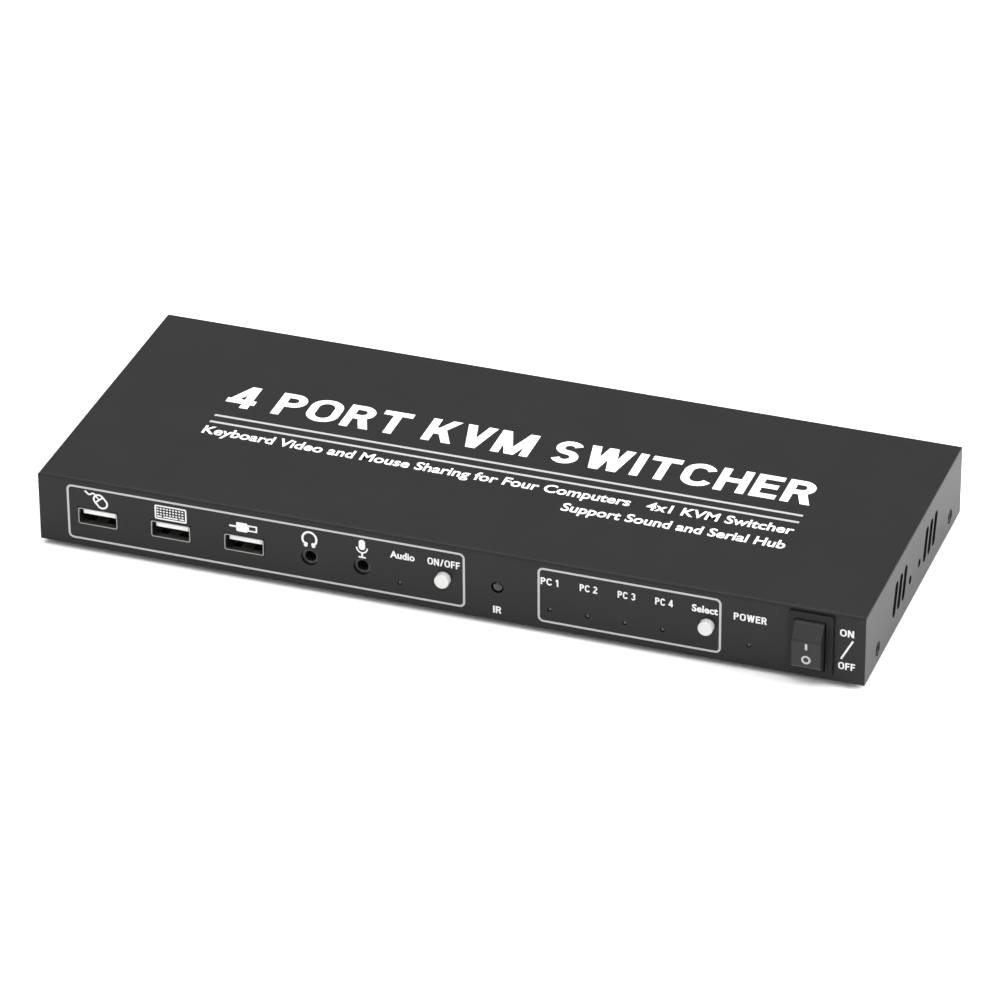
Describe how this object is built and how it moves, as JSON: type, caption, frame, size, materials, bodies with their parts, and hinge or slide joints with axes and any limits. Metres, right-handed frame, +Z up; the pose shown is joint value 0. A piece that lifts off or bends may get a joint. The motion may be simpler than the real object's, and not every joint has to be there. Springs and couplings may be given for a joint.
{
  "type": "kvm switch",
  "caption": "Flat black steel desktop KVM switch with front sockets, audio jacks, push buttons, status lamps, an infrared eye and a rocker power switch.",
  "frame": {"origin": "middle of the whole object's footprint, at the underside of the rubber feet", "axes": "+X along the case to the right as seen from the front panel, -Y out of the front panel, +Z up"},
  "size_m": [0.27, 0.1148, 0.026],
  "materials": {
    "bezel_black": "fine spark texture",
    "board_green": "solder mask",
    "button_white": "satin moulded",
    "capacitor_aluminium": "drawn can",
    "case_black": "satin black powder coat, fine grain",
    "chip_black": "moulded",
    "contact_brass": "gold flash",
    "cover_screw_black": "black oxide",
    "foot_rubber": "matt",
    "heat_sink_aluminium": "extruded",
    "ir_window": "dark red-black window",
    "jack_sleeve": "moulded",
    "lead_red": "insulated wire",
    "led_lens": "diffused lens, unlit",
    "moulding_black": "moulded",
    "pin_steel": "nickel plated",
    "rocker_black": "satin moulded",
    "screw_steel": "zinc plated",
    "socket_black": "moulded",
    "socket_steel": "nickel plated, satin",
    "socket_white": "moulded",
    "standoff_brass": "plain turned"
  },
  "bodies": {
    "housing": {"audio_led": "led_lens", "audio_switch_body": "moulding_black", "base_chassis": "case_black", "board_screws": "screw_steel", "board_standoffs": "standoff_brass", "cover_screws": "cover_screw_black", "filter_capacitors": "capacitor_aluminium", "foot_back_left": "foot_rubber", "foot_back_right": "foot_rubber", "foot_front_left": "foot_rubber", "foot_front_right": "foot_rubber", "front_port_1_shell": "socket_steel", "front_port_1_tongue": "socket_white", "front_port_2_shell": "socket_steel", "front_port_2_tongue": "socket_white", "front_port_3_shell": "socket_steel", "front_port_3_tongue": "socket_white", "front_port_blocks": "socket_black", "front_port_contacts": "contact_brass", "headphone_jack_body": "moulding_black", "headphone_jack_sleeve": "jack_sleeve", "heat_sink": "heat_sink_aluminium", "host_port_1_core": "socket_black", "host_port_1_shell": "socket_steel", "host_port_2_core": "socket_black", "host_port_2_shell": "socket_steel", "host_port_3_core": "socket_black", "host_port_3_shell": "socket_steel", "host_port_4_core": "socket_black", "host_port_4_shell": "socket_steel", "infrared_receiver": "ir_window", "main_board": "board_green", "microphone_jack_body": "moulding_black", "microphone_jack_sleeve": "jack_sleeve", "pc_led_1": "led_lens", "pc_led_2": "led_lens", "pc_led_3": "led_lens", "pc_led_4": "led_lens", "power_inlet": "moulding_black", "power_inlet_pin": "pin_steel", "power_led": "led_lens", "rocker_leads": "lead_red", "rocker_switch_housing": "bezel_black", "rocker_terminals": "contact_brass", "select_switch_body": "moulding_black", "switching_chips": "chip_black", "top_cover": "case_black", "video_out_port_shell": "socket_steel", "video_out_port_tongue": "socket_black", "video_port_1_shell": "socket_steel", "video_port_1_tongue": "socket_black", "video_port_2_shell": "socket_steel", "video_port_2_tongue": "socket_black", "video_port_3_shell": "socket_steel", "video_port_3_tongue": "socket_black", "video_port_4_shell": "socket_steel", "video_port_4_tongue": "socket_black"},
    "rocker": {"rocker": "rocker_black"},
    "audio_button": {"audio_button": "button_white"},
    "select_button": {"select_button": "button_white"}
  },
  "joints": [
    {"name": "rocker_tilt", "type": "hinge", "parent": "housing", "child": "rocker", "pos_m": [0.1179, -0.05046, 0.0141], "axis": [1, 0, 0], "range_deg": [0, 22]},
    {"name": "audio_button_press", "type": "slide", "parent": "housing", "child": "audio_button", "axis": [0, 1, 0], "range_m": [0, 0.0015], "stiffness_N_per_m": 1000, "springref_m": -0.0005},
    {"name": "select_button_press", "type": "slide", "parent": "housing", "child": "select_button", "axis": [0, 1, 0], "range_m": [0, 0.0015], "stiffness_N_per_m": 1000, "springref_m": -0.0005}
  ]
}
